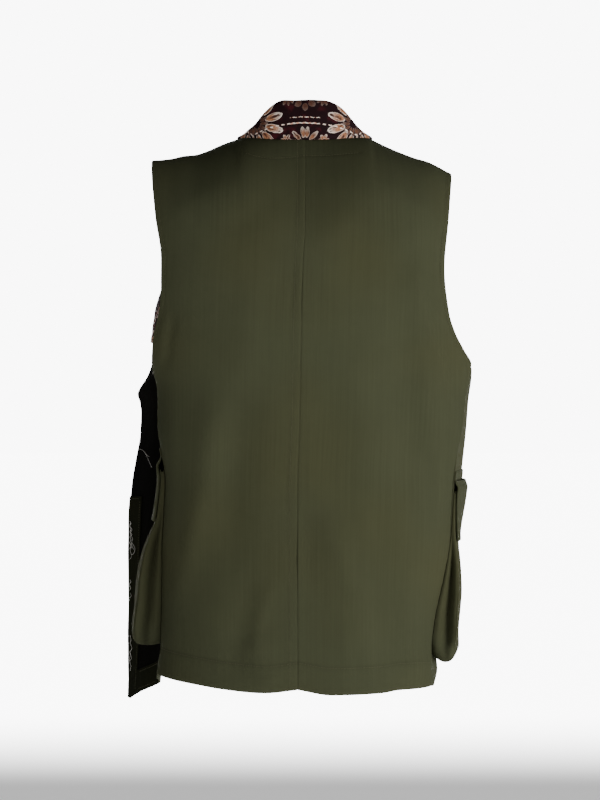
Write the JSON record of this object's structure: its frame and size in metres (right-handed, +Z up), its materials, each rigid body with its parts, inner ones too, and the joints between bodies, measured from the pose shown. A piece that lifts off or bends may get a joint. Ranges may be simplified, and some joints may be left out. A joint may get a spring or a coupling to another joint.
{
  "type": "waistcoat",
  "caption": "Open utility waistcoat in olive twill with a brocade shawl collar, black centre fronts and bellows cargo pockets, in its hollow worn form.",
  "frame": {"origin": "midway between the two neck points of the shoulders, where the wearer holds it", "axes": "+Z up, +Y towards the back, +X towards the wearer's left side"},
  "size_m": [0.4732, 0.3398, 0.8098],
  "materials": {
    "olive_twill": "matt cotton twill",
    "black_cloth": "matt black cloth",
    "brocade": "burgundy and gold brocade with a soft sheen",
    "thread": "matt white cotton thread"
  },
  "bodies": {
    "root": {"back_left": "olive_twill", "back_right": "olive_twill", "side_front_left": "olive_twill", "side_front_right": "olive_twill", "front_left": "black_cloth", "front_right": "black_cloth", "front_hem_band_left": "olive_twill", "front_hem_band_right": "olive_twill", "front_edge_strip_left": "olive_twill", "front_edge_strip_right": "olive_twill", "pocket_pouch_left": "olive_twill", "pocket_pouch_right": "olive_twill", "pocket_flap_left": "olive_twill", "pocket_flap_right": "olive_twill", "pocket_band_left": "olive_twill", "pocket_band_right": "olive_twill", "shawl_collar": "brocade"}
  },
  "joints": []
}
